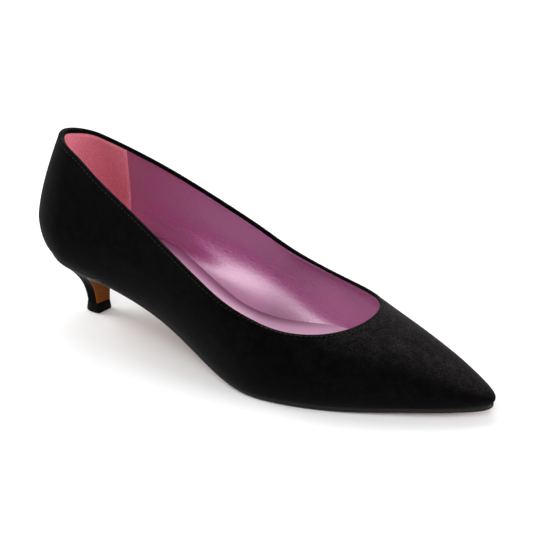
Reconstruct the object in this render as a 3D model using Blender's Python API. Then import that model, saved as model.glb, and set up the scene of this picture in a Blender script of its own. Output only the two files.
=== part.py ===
"""Right shoe of a pair of velvet pumps with a pointed toe and a slim low heel, as five separate solids.

Every size is in millimetres. X runs from the heel to the toe, Y towards the inner (medial) side of the foot and Z up
from the floor. The finished solids are in metres, with the origin at the bottom centre of the whole shoe.
"""

import math

import bmesh
import bpy
import numpy as np

MM = 0.001
LATERAL, MEDIAL = -1, 1

# Thicknesses and clearances
WALL = 1.8
GAP = 0.3
SOLE_THICK = 3.0
FLAP_THICK = 1.4
INSOLE_THICK = 2.0
INSOLE_INSET = 2.4
SOLE_OUTSET = 0.4
SEAT_INSET = 0.6
MERGE = 0.001

# The last at each station: centre line, half widths at the widest line and at the feather edge where the upper meets
# the sole, height of the widest line above the feather edge, and how far the arch lifts the medial edge.
LAST_COLUMNS = (
    "x", "axis", "lateral", "medial", "lateral_feather", "medial_feather", "wide_height", "arch_lift",
)
LAST_ROWS = (
    (2, -0.5, 28.0, 28.0, 24.0, 24.0, 15, 0),
    (30, -0.5, 28.5, 28.0, 24.0, 23.5, 18, 0),
    (60, 0, 29.0, 28.5, 24.5, 25.0, 22, 3),
    (90, 0.5, 31.5, 30.5, 25.5, 19.8, 25, 4),
    (120, 0.5, 36.0, 35.5, 32.0, 19.5, 23.5, 2.5),
    (150, 2, 41.0, 40.0, 38.0, 35.0, 17.5, 0.5),
    (175, 5, 40.0, 37.5, 37.0, 34.0, 13, 0),
    (200, 6.5, 33.0, 29.0, 30.5, 25.5, 10.5, 0),
    (225, 8, 22.5, 18.5, 21.5, 16.5, 8, 0),
    (246, 8.5, 14.7, 12.7, 13.5, 11.5, 4.8, 0),
    (260, 9, 11.5, 10.5, 10.0, 9.5, 2.6, 0),
)

# Height of the lateral feather edge above the floor, with the heel lift, the tread and the toe spring
BOTTOM_COLUMNS = ("x", "height")
BOTTOM_ROWS = (
    (0, 46), (30, 39), (55, 34.6), (85, 24.8), (115, 11.9), (140, 4.0), (158, 3.2), (182, 3.2), (205, 4.3), (230, 6.0),
    (260, 6.7),
)

# The collar opening: half width of its plan and height of its edge
TOPLINE_COLUMNS = ("x", "half_width", "height")
TOPLINE_ROWS = (
    (14.5, 10.5, 105),
    (30, 13.5, 100.4),
    (45, 18.5, 93.5),
    (65, 23.5, 84),
    (90, 28.5, 71),
    (120, 33.5, 55),
    (150, 35, 39.5),
)

# Ridge of the closed last over the instep and the vamp
RIDGE_COLUMNS = ("x", "height")
RIDGE_ROWS = ((120, 83.5), (150, 62), (175, 49.5), (195, 41.2), (215, 34), (235, 25), (250, 17))

# Where the round ends of the three guide lines begin and end
HEEL_CAP = 30
HEEL_BACK = {"feather": 5, "wide": 1.8, "top": 14.5}
TOE_CAP = 232
TOE_END = 258
TOE_TIP = {"feather": 258.2, "wide": 259.3, "top": 250}
THROAT_CAP = 150
THROAT = 195

# The wall starts at the feather edge part of the way round its lower curve, and leans in towards the collar
LOWER_START = math.radians(25)
LEAN_POWER = 1.4
ARCH_FROM, ARCH_TO = 112, 157
WIDEST_OPENING = 0.985

# The heel from its seat (down 0) to the top piece (down 1), how far its tip is moved in Y, and how its front is turned
# to the lateral side from a share of the way down
HEEL_COLUMNS = ("down", "back", "breast", "half_width")
HEEL_ROWS = (
    (0.00, 5.6, 48.5, 24.0),
    (0.07, 6.6, 43.0, 22.2),
    (0.18, 9.2, 38.6, 18.4),
    (0.32, 13.6, 35.8, 13.2),
    (0.47, 18.0, 34.3, 9.2),
    (0.62, 21.5, 33.5, 6.6),
    (0.80, 24.2, 33.2, 5.0),
    (1.00, 25.6, 33.4, 4.4),
)
HEEL_SHIFT = -0.9
HEEL_BOTTOM = 6.4
HEEL_TWIST = 0.24
HEEL_TWISTED_BY = 0.45

# The sole ends at the waist and turns down over the front of the heel as a flap that thins over its first share
SOLE_REAR = 50
FLAP_FROM = 0.06
FLAP_TAPER = 0.3

# The top piece under the heel, from its top down to the floor: height, back, front and half width
TOP_PIECE_ROWS = ((6.1, 25.4, 35.0, 4.7), (0.0, 24.4, 35.4, 5.0))

# Finish of each piece: material, linear base colour, roughness and metallic share
FINISHES = {
    "upper": ("black_velvet", (0.004, 0.004, 0.005), 0.9, 0.0),
    "insole": ("metallic_pink_leather", (0.40, 0.09, 0.22), 0.35, 0.5),
    "outsole": ("tan_sole_leather", (0.34, 0.12, 0.04), 0.5, 0.0),
    "heel": ("black_heel_cover", (0.006, 0.006, 0.007), 0.5, 0.0),
    "top_piece": ("black_rubber", (0.008, 0.008, 0.008), 0.4, 0.0),
}
SHARP_EDGE = math.radians(40)

# Numbers of sections and points
HEEL_STEPS, SIDE_STEPS, THROAT_STEPS, VAMP_STEPS, TOE_STEPS = 8, 12, 7, 4, 7
LOWER_STEPS, UPPER_STEPS = 5, 11
ACROSS_STEPS = 6
HEEL_RINGS = 14


def table(columns, rows):
    """Columns of a table by name."""
    return {name: np.array(values, float) for name, values in zip(columns, zip(*rows))}


LAST = table(LAST_COLUMNS, LAST_ROWS)
BOTTOM = table(BOTTOM_COLUMNS, BOTTOM_ROWS)
TOPLINE = table(TOPLINE_COLUMNS, TOPLINE_ROWS)
RIDGE = table(RIDGE_COLUMNS, RIDGE_ROWS)
HEEL = table(HEEL_COLUMNS, HEEL_ROWS)


def spline(knots, values, at):
    """Natural cubic spline through the knots, straight beyond both ends."""
    step = np.diff(knots)
    slope = np.diff(values) / step
    count = len(knots)
    matrix = np.eye(count)
    right = np.zeros(count)
    for row in range(1, count - 1):
        before, after = step[row - 1], step[row]
        matrix[row, row - 1:row + 2] = before, 2 * (before + after), after
        right[row] = 6 * (slope[row] - slope[row - 1])
    bend = np.linalg.solve(matrix, right)
    at = np.asarray(at, float)
    inside = np.clip(at, knots[0], knots[-1])
    i = np.clip(np.searchsorted(knots, inside) - 1, 0, count - 2)
    past, left = inside - knots[i], knots[i + 1] - inside
    curve = (bend[i] * left**3 + bend[i + 1] * past**3) / (6 * step[i])
    curve += (values[i] / step[i] - bend[i] * step[i] / 6) * left
    curve += (values[i + 1] / step[i] - bend[i + 1] * step[i] / 6) * past
    first_slope = slope[0] - bend[1] * step[0] / 6
    last_slope = slope[-1] + bend[-2] * step[-1] / 6
    return curve + np.minimum(at - knots[0], 0) * first_slope + np.maximum(at - knots[-1], 0) * last_slope


def read(source, name, at):
    """A column of a table at any x, along a smooth curve."""
    return spline(source["x"], source[name], at)


def smooth_step(low, high, at):
    share = np.clip((at - low) / (high - low), 0, 1)
    return share * share * (3 - 2 * share)


def stations():
    """Section positions from the heel back to the toe tip, closer where the collar turns across the vamp."""
    heel = np.linspace(0, HEEL_CAP, HEEL_STEPS + 1)[:-1]
    side = np.linspace(HEEL_CAP, THROAT_CAP, SIDE_STEPS + 1)[:-1]
    turn = np.linspace(0, math.pi / 2, THROAT_STEPS + 1)
    throat = THROAT_CAP + (THROAT - THROAT_CAP) * np.sin(turn)
    vamp = np.linspace(THROAT, TOE_CAP, VAMP_STEPS + 1)[1:]
    toe = np.linspace(TOE_CAP, TOE_END, TOE_STEPS + 1)[1:]
    return np.concatenate([heel, side, throat, vamp, toe])


def end_angles(station):
    """Angles round the heel cap and the toe cap, 0 along the sides and a right angle at the ends."""
    heel = math.pi / 2 * np.clip((HEEL_CAP - station) / HEEL_CAP, 0, 1)
    toe = math.pi / 2 * np.clip((station - TOE_CAP) / (TOE_END - TOE_CAP), 0, 1)
    return heel, toe


def along(station, line):
    """X of a guide line at each station."""
    heel, toe = end_angles(station)
    back = HEEL_CAP - (HEEL_CAP - HEEL_BACK[line]) * np.sin(heel)
    front = TOE_CAP + (TOE_TIP[line] - TOE_CAP) * np.sin(toe)
    return np.where(station < HEEL_CAP, back, np.where(station > TOE_CAP, front, station))


def plan_point(x, side, half_width):
    return np.stack([x, read(LAST, "axis", x) + side * half_width], axis=1)


def feather_line(side, station):
    """Plan points and heights of the feather edge on one side."""
    heel, toe = end_angles(station)
    x = along(station, "feather")
    name = "lateral_feather" if side == LATERAL else "medial_feather"
    half_width = read(LAST, name, x) * np.cos(heel) * np.cos(toe)
    lift = read(LAST, "arch_lift", x) * np.cos(heel) if side == MEDIAL else 0
    return plan_point(x, side, half_width), read(BOTTOM, "height", x) + lift


def wall_sections(side, station):
    """Points of the upper's outside on one side: a row per station, from the feather edge to the collar or ridge."""
    heel, toe = end_angles(station)
    feather, feather_z = feather_line(side, station)

    wide_x = along(station, "wide")
    wide_half = read(LAST, "lateral" if side == LATERAL else "medial", wide_x) * np.cos(heel) * np.cos(toe)
    wide = plan_point(wide_x, side, wide_half)
    wide_z = feather_z + read(LAST, "wide_height", wide_x)

    top_x = along(station, "top")
    turn = np.clip((station - THROAT_CAP) / (THROAT - THROAT_CAP), 0, 1)
    top_half = read(TOPLINE, "half_width", top_x) * np.cos(heel) * np.sqrt(1 - turn**2)
    top = plan_point(top_x, side, top_half)

    # Ahead of the throat the section is a full quarter arch up to the ridge
    open_share = np.clip(top_half / np.maximum(wide_half, MERGE), 0, WIDEST_OPENING)
    reach = np.arccos(np.where(station < THROAT, open_share, 0))
    arched = smooth_step(ARCH_FROM, ARCH_TO, station)
    ridge_z = read(RIDGE, "height", np.maximum(top_x, ARCH_FROM))
    cut_z = wide_z + (ridge_z - wide_z) * np.sin(reach)
    top_z = (1 - arched) * read(TOPLINE, "height", top_x) + arched * cut_z
    ridge_slope = read(RIDGE, "height", np.maximum(top_x, ARCH_FROM) + 1) - ridge_z
    toe_drop = np.where(station > TOE_CAP, ridge_slope * (wide_x - top_x), 0)

    points = []
    for angle in np.linspace(LOWER_START, math.pi / 2, LOWER_STEPS + 1)[:-1]:
        out = (math.sin(angle) - math.sin(LOWER_START)) / (1 - math.sin(LOWER_START))
        rise = 1 - math.cos(angle) / math.cos(LOWER_START)
        points.append(np.column_stack([feather + (wide - feather) * out, feather_z + (wide_z - feather_z) * rise]))
    for share in np.linspace(0, 1, UPPER_STEPS + 1):
        angle = reach * share
        inward = (1 - arched) * share**LEAN_POWER + arched * (1 - np.cos(angle)) / (1 - np.cos(reach))
        rise = (1 - arched) * share + arched * np.sin(angle) / np.sin(reach)
        droop = toe_drop * (np.cos(angle) + np.sin(angle) - 1)
        plan = wide + (top - wide) * inward[:, None]
        points.append(np.column_stack([plan, wide_z + (top_z - wide_z) * rise + droop]))
    return np.stack(points, axis=1)


def feather_edges(station, outset):
    """Lateral and medial feather edges moved outwards in plan, matched station by station."""
    edges = [np.column_stack(feather_line(side, station)) for side in (LATERAL, MEDIAL)]
    loop = np.concatenate([edges[0], edges[1][-2:0:-1]])
    tangent = np.roll(loop, -1, axis=0) - np.roll(loop, 1, axis=0)
    outward = np.stack([tangent[:, 1], -tangent[:, 0]], axis=1)
    loop[:, :2] += outset * outward / np.linalg.norm(outward, axis=1)[:, None]
    count = len(station)
    return loop[:count], np.concatenate([loop[:1], loop[:count - 2:-1]])


def rows_across(lateral, medial):
    """Straight rows of points from one edge to the other."""
    share = np.linspace(0, 1, ACROSS_STEPS + 1)[None, :, None]
    return lateral[:, None] * (1 - share) + medial[:, None] * share


def grid_faces(rows, columns, start=0, closed=False):
    """Quads of a grid of points numbered row by row, joined round when closed."""
    faces = []
    for row in range(rows - 1):
        for column in range(columns if closed else columns - 1):
            after = (column + 1) % columns
            here, there = start + row * columns, start + (row + 1) * columns
            faces.append((here + column, there + column, there + after, here + after))
    return faces


def new_mesh(points, faces):
    """A bmesh in metres with its coincident points made one."""
    mesh = bmesh.new()
    corners = [mesh.verts.new(np.asarray(point) * MM) for point in points]
    for face in faces:
        mesh.faces.new([corners[i] for i in face])
    bmesh.ops.remove_doubles(mesh, verts=mesh.verts, dist=MERGE * MM)
    return mesh


def finish_material(name):
    label, colour, roughness, metallic = FINISHES[name]
    material = bpy.data.materials.new(label)
    material.use_nodes = True
    surface = material.node_tree.nodes["Principled BSDF"]
    surface.inputs["Base Color"].default_value = (*colour, 1)
    surface.inputs["Roughness"].default_value = roughness
    surface.inputs["Metallic"].default_value = metallic
    return material


def add_object(name, mesh):
    """Links a finished bmesh as an object with its faces turned outwards and shaded smooth."""
    bmesh.ops.recalc_face_normals(mesh, faces=mesh.faces)
    data = bpy.data.meshes.new(name)
    mesh.to_mesh(data)
    mesh.free()
    data.shade_smooth()
    data.set_sharp_from_angle(angle=SHARP_EDGE)
    data.materials.append(finish_material(name))
    item = bpy.data.objects.new(name, data)
    bpy.context.scene.collection.objects.link(item)
    return item


def thicken(mesh, thickness):
    """Turns an open sheet into a wall that grows inwards, closed along its free edges."""
    mesh.normal_update()
    outer_faces = list(mesh.faces)
    free_edges = [edge for edge in mesh.edges if edge.is_boundary]
    inner = {vert: mesh.verts.new(vert.co - vert.normal * thickness) for vert in list(mesh.verts)}
    for face in outer_faces:
        mesh.faces.new([inner[vert] for vert in reversed(face.verts)])
    for edge in free_edges:
        first, second = edge.verts
        mesh.faces.new([first, second, inner[second], inner[first]])


def make_upper():
    station = stations()
    lateral = wall_sections(LATERAL, station)
    medial = wall_sections(MEDIAL, station)
    rows, columns = lateral.shape[:2]
    points = np.concatenate([lateral.reshape(-1, 3), medial.reshape(-1, 3)])
    faces = grid_faces(rows, columns)
    faces += [tuple(reversed(face)) for face in grid_faces(rows, columns, rows * columns)]
    sheet = new_mesh(points, faces)
    thicken(sheet, WALL * MM)
    return add_object("upper", sheet)


def make_plate(name, upper_rows, lower_rows):
    """A closed plate between two grids of points that match row by row."""
    rows, columns = upper_rows.shape[:2]
    rings = np.concatenate([upper_rows, lower_rows[:, ::-1]], axis=1)
    faces = grid_faces(rows, 2 * columns, closed=True)
    for end in (0, (rows - 1) * 2 * columns):
        for column in range(columns - 1):
            below = 2 * columns - 1 - column
            faces.append((end + column, end + column + 1, end + below - 1, end + below))
    return add_object(name, new_mesh(rings.reshape(-1, 3), faces))


def make_insole():
    bottom = rows_across(*feather_edges(stations(), -INSOLE_INSET))
    return make_plate("insole", bottom + (0, 0, INSOLE_THICK), bottom)


def heel_seat():
    """Lateral and medial edges of the heel seat from the breast to the back."""
    station = stations()
    station = np.concatenate([station[station < HEEL["breast"][0]], station[-1:]])
    lateral, medial = feather_edges(station, -SEAT_INSET)
    front = HEEL["breast"][0]
    edges = []
    for side, edge in ((LATERAL, lateral), (MEDIAL, medial)):
        plan, height = feather_line(side, np.array([front]))
        corner = np.column_stack([plan - (0, side * SEAT_INSET), height])
        edges.append(np.concatenate([corner, edge[-2::-1]]) - (0, 0, GAP))
    return edges


def heel_plan(seat_edge, back, front, half_width, down):
    """X and Y of a seat edge drawn in to a section's back, front and half width, and turned with it."""
    seat_back, seat_front, seat_half = (HEEL[name][0] for name in HEEL_COLUMNS[1:])
    behind = (seat_front - seat_edge[:, 0]) / (seat_front - seat_back)
    beside = seat_edge[:, 1] * half_width / seat_half
    turned = HEEL_TWIST * smooth_step(0, HEEL_TWISTED_BY, down) * beside
    return front - (front - back) * behind + turned, beside + HEEL_SHIFT * down


def heel_ring(seat_edge, down):
    """One edge of the heel at a share of the way down from its seat."""
    section = (spline(HEEL["down"], HEEL[name], down) for name in HEEL_COLUMNS[1:])
    z = (1 - down) * seat_edge[:, 2] + down * HEEL_BOTTOM
    return np.column_stack([*heel_plan(seat_edge, *section, down), z])


def make_rings(name, rings):
    """A solid through rings of points, each a lateral edge and a medial edge that share their last point."""
    loops = np.array([np.concatenate([lateral, medial[-2::-1]]) for lateral, medial in rings])
    rows, columns = loops.shape[:2]
    faces = grid_faces(rows, columns, closed=True)
    for end in (0, (rows - 1) * columns):
        for i in range(columns // 2):
            j = columns - 1 - i
            faces.append(tuple(dict.fromkeys((end + i, end + i + 1, end + j - 1, end + j))))
    return add_object(name, new_mesh(loops.reshape(-1, 3), faces))


def make_heel():
    seat = heel_seat()
    rings = [[heel_ring(edge, down) for edge in seat] for down in np.linspace(0, 1, HEEL_RINGS + 1)]
    return make_rings("heel", rings)


def make_top_piece():
    seat = heel_seat()
    rings = []
    for height, *section in TOP_PIECE_ROWS:
        plans = [heel_plan(edge, *section, 1.0) for edge in seat]
        rings.append([np.column_stack([x, y, np.full(len(x), height)]) for x, y in plans])
    return make_rings("top_piece", rings)


def flap_edges():
    """Lateral and medial edges of the sole's turned-down flap, just ahead of the heel breast, from the top down."""
    downs = np.linspace(FLAP_FROM, 1, HEEL_RINGS + 1)
    return [
        np.array([heel_ring(edge, down)[0] for down in downs]) + (GAP, 0, 0)
        for edge in heel_seat()
    ]


def make_outsole():
    """The sole from toe to waist, flat under the ball, carried on as a flap down the front of the heel."""
    station = stations()
    station = np.concatenate([[0.0, SOLE_REAR], station[station > SOLE_REAR]])
    sole = [edge[:0:-1] - (0, 0, GAP) for edge in feather_edges(station, SOLE_OUTSET)]
    flap = flap_edges()
    inner = rows_across(*(np.concatenate(pair) for pair in zip(sole, flap)))

    sole_rows = len(sole[0])
    path = inner.mean(axis=1)[:, [0, 2]]
    tangent = np.gradient(path, axis=0)[sole_rows:]
    normal = np.stack([-tangent[:, 1], np.zeros(len(tangent)), tangent[:, 0]], axis=1)
    normal /= np.linalg.norm(normal, axis=1)[:, None]
    normal[-1] = (1, 0, 0)
    thick = np.interp(np.linspace(0, 1, len(normal)), (0, FLAP_TAPER), (SOLE_THICK, FLAP_THICK))

    outer = inner - (0, 0, SOLE_THICK)
    outer[:sole_rows, :, 2] = np.maximum(outer[:sole_rows, :, 2], 0)
    outer[sole_rows:] = inner[sole_rows:] + (normal * thick[:, None])[:, None]
    return make_plate("outsole", inner, outer)


def stand_on_floor(items):
    """Hangs the solids on an empty that brings the bottom centre of them all to the origin."""
    points = np.array([vert.co for item in items for vert in item.data.vertices])
    low, high = points.min(axis=0), points.max(axis=0)
    shoe = bpy.data.objects.new("shoe", None)
    shoe.location = (-(low[0] + high[0]) / 2, -(low[1] + high[1]) / 2, -low[2])
    bpy.context.scene.collection.objects.link(shoe)
    for item in items:
        item.parent = shoe


def main():
    for item in list(bpy.data.objects):
        bpy.data.objects.remove(item)
    stand_on_floor([make_upper(), make_insole(), make_outsole(), make_heel(), make_top_piece()])


main()
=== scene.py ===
"""Looks of a black velvet pump with a pointed toe: upper, lining, heel grip, sock, sole, heel and top piece.

Sizes are in millimetres on the last: X runs from the heel back to the toe, Y towards the inner side of the
foot and Z up from the floor. A mesh gets them in metres, moved to the frame's own origin.
"""

import logging
import math
from collections.abc import Sequence
from dataclasses import dataclass
from enum import Enum

import bmesh
import bpy
import numpy as np
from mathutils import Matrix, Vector
from mathutils.kdtree import KDTree


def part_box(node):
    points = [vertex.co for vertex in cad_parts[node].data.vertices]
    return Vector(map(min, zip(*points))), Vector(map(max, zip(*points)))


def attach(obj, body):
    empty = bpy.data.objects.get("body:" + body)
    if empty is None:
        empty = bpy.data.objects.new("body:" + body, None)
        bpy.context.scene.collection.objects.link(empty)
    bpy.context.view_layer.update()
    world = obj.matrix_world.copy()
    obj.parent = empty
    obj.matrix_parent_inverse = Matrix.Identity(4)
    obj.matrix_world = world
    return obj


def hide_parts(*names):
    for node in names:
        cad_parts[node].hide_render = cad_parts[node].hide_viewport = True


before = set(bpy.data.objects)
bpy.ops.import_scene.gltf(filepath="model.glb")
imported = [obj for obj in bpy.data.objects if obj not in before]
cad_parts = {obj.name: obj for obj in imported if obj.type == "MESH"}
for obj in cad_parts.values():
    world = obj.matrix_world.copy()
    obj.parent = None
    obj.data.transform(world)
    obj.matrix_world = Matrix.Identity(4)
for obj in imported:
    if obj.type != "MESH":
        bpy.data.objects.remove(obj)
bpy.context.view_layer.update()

LOG = logging.getLogger("pump")
BODY = "root"
MM = 0.001
RIGHT_ANGLE = math.pi / 2

# Points closer than this are made one
MERGE = 0.002
# Stations next to a cut across the last stay at least this far from it
STATION_GAP = 0.2
# Parts that each step of a free edge is cut into where distances are measured from it
EDGE_CUTS = 4

# Sockets of a Mix node that mixes colours
MIX_FIRST, MIX_SECOND, MIX_RESULT = 6, 7, 2
# Values between which most of a noise texture lies
NOISE_RANGE = (0.3, 0.7)
# Attribute that says how much painted shade a point of the sock gets where it meets the lining
PAINTED_SHADE_SHARE = "painted_shade_share"

Array = np.ndarray
Table = dict[str, Array]
Faces = list[tuple[int, ...]]

# The last at each station: centre line, half widths at the widest line and at the feather edge, height of
# the widest line above the feather edge, and how far the arch lifts the medial edge
LAST_COLUMNS = (
    "x", "axis", "lateral", "medial", "lateral_feather", "medial_feather", "wide_height", "arch_lift",
)
LAST_ROWS = (
    (2, -0.5, 28.0, 28.0, 24.0, 24.0, 15, 0),
    (30, -0.5, 28.5, 28.0, 24.0, 23.5, 18, 0),
    (60, 0, 29.0, 28.5, 24.5, 25.0, 22, 3),
    (90, 0.5, 31.5, 30.5, 25.5, 19.8, 25, 4),
    (120, 0.5, 36.0, 35.5, 32.0, 19.5, 23.5, 2.5),
    (150, 2, 41.0, 40.0, 38.0, 35.0, 17.5, 0.5),
    (175, 5, 40.0, 37.5, 37.0, 34.0, 13, 0),
    (200, 6.5, 33.0, 29.0, 30.5, 25.5, 10.5, 0),
    (225, 8, 22.5, 18.5, 21.5, 16.5, 8, 0),
    (246, 8.5, 14.7, 12.7, 13.5, 11.5, 4.8, 0),
    (260, 9, 11.5, 10.5, 10.0, 9.5, 2.6, 0),
)

# Height of the lateral feather edge above the floor
BOTTOM_COLUMNS = ("x", "height")
BOTTOM_ROWS = (
    (0, 46), (30, 39), (55, 34.6), (85, 24.8), (115, 11.9), (140, 4.0), (158, 3.2), (182, 3.2), (205, 4.3),
    (230, 6.0), (260, 6.7),
)

# The collar: half width of its plan and height of its edge
COLLAR_COLUMNS = ("x", "half_width", "height")
COLLAR_ROWS = (
    (14.5, 10.5, 105),
    (30, 13.5, 100.4),
    (45, 18.5, 93.5),
    (65, 23.5, 84),
    (90, 28.5, 71),
    (120, 33.5, 55),
    (150, 35, 39.5),
)

# Ridge of the closed last over the instep and the vamp
RIDGE_COLUMNS = ("x", "height")
RIDGE_ROWS = ((120, 83.5), (150, 62), (175, 49.5), (195, 41.2), (215, 34), (235, 25), (250, 17))

# The heel from its seat (down 0) to the top piece (down 1)
HEEL_COLUMNS = ("down", "back", "breast", "half_width")
HEEL_ROWS = (
    (0.00, 5.6, 48.5, 24.0),
    (0.07, 6.6, 43.0, 22.2),
    (0.18, 9.2, 38.6, 18.4),
    (0.32, 13.6, 35.8, 13.2),
    (0.47, 18.0, 34.3, 9.2),
    (0.62, 21.5, 33.5, 6.6),
    (0.80, 24.2, 33.2, 5.0),
    (1.00, 25.6, 33.4, 4.4),
)

# The top piece from its top to the floor, with its rims rounded: height, back, front and half width
TOP_PIECE_ROWS = (
    (6.1, 25.8, 34.7, 4.4),
    (5.8, 25.4, 35.0, 4.7),
    (3.0, 24.9, 35.2, 4.9),
    (0.8, 24.4, 35.4, 5.0),
    (0.2, 24.6, 35.2, 4.8),
    (0.0, 25.2, 34.7, 4.3),
)


class Side(Enum):
    """The two sides of a right foot, with the sign of Y."""

    LATERAL = -1
    MEDIAL = 1


class Guide(Enum):
    """The three guide lines that run round the last."""

    FEATHER = "feather"
    WIDE = "wide"
    COLLAR = "collar"


# X of each guide line at the heel back and at the toe tip
HEEL_BACK = {Guide.FEATHER: 5, Guide.WIDE: 1.8, Guide.COLLAR: 14.5}
TOE_TIP = {Guide.FEATHER: 258.2, Guide.WIDE: 259.3, Guide.COLLAR: 250}


def table(columns: Sequence[str], rows: Sequence[Sequence[float]]) -> Table:
    """Columns of a table by name.

    Args:
        columns: Names of the columns.
        rows: One row of numbers for each section.

    Returns:
        An array for each name.
    """
    return {name: np.array(values, float) for name, values in zip(columns, zip(*rows))}


LAST = table(LAST_COLUMNS, LAST_ROWS)
BOTTOM = table(BOTTOM_COLUMNS, BOTTOM_ROWS)
COLLAR = table(COLLAR_COLUMNS, COLLAR_ROWS)
RIDGE = table(RIDGE_COLUMNS, RIDGE_ROWS)
HEEL = table(HEEL_COLUMNS, HEEL_ROWS)


def spline(knots: Array, values: Array, at: Array | float) -> Array:
    """Natural cubic spline through the knots, straight beyond both ends.

    Args:
        knots: Rising positions of the knots.
        values: Value at each knot.
        at: Positions to read.

    Returns:
        Values at those positions.
    """
    step = np.diff(knots)
    slope = np.diff(values) / step
    count = len(knots)
    matrix = np.eye(count)
    right = np.zeros(count)
    for row in range(1, count - 1):
        before, after = step[row - 1], step[row]
        matrix[row, row - 1:row + 2] = before, 2 * (before + after), after
        right[row] = 6 * (slope[row] - slope[row - 1])
    bend = np.linalg.solve(matrix, right)
    at = np.asarray(at, float)
    inside = np.clip(at, knots[0], knots[-1])
    i = np.clip(np.searchsorted(knots, inside) - 1, 0, count - 2)
    past, left = inside - knots[i], knots[i + 1] - inside
    curve = (bend[i] * left**3 + bend[i + 1] * past**3) / (6 * step[i])
    curve += (values[i] / step[i] - bend[i] * step[i] / 6) * left
    curve += (values[i + 1] / step[i] - bend[i + 1] * step[i] / 6) * past
    first_slope = slope[0] - bend[1] * step[0] / 6
    last_slope = slope[-1] + bend[-2] * step[-1] / 6
    return curve + np.minimum(at - knots[0], 0) * first_slope + np.maximum(at - knots[-1], 0) * last_slope


def read(source: Table, name: str, at: Array | float) -> Array:
    """A column of a table at any x, along a smooth curve."""
    return spline(source["x"], source[name], at)


def smooth_step(low: float, high: float, at: Array) -> Array:
    """A share that eases from 0 at low to 1 at high."""
    share = np.clip((at - low) / (high - low), 0, 1)
    return share * share * (3 - 2 * share)


def unit(vectors: Array) -> Array:
    """Vectors of length 1 in the same directions."""
    return vectors / np.linalg.norm(vectors, axis=-1, keepdims=True)


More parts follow.
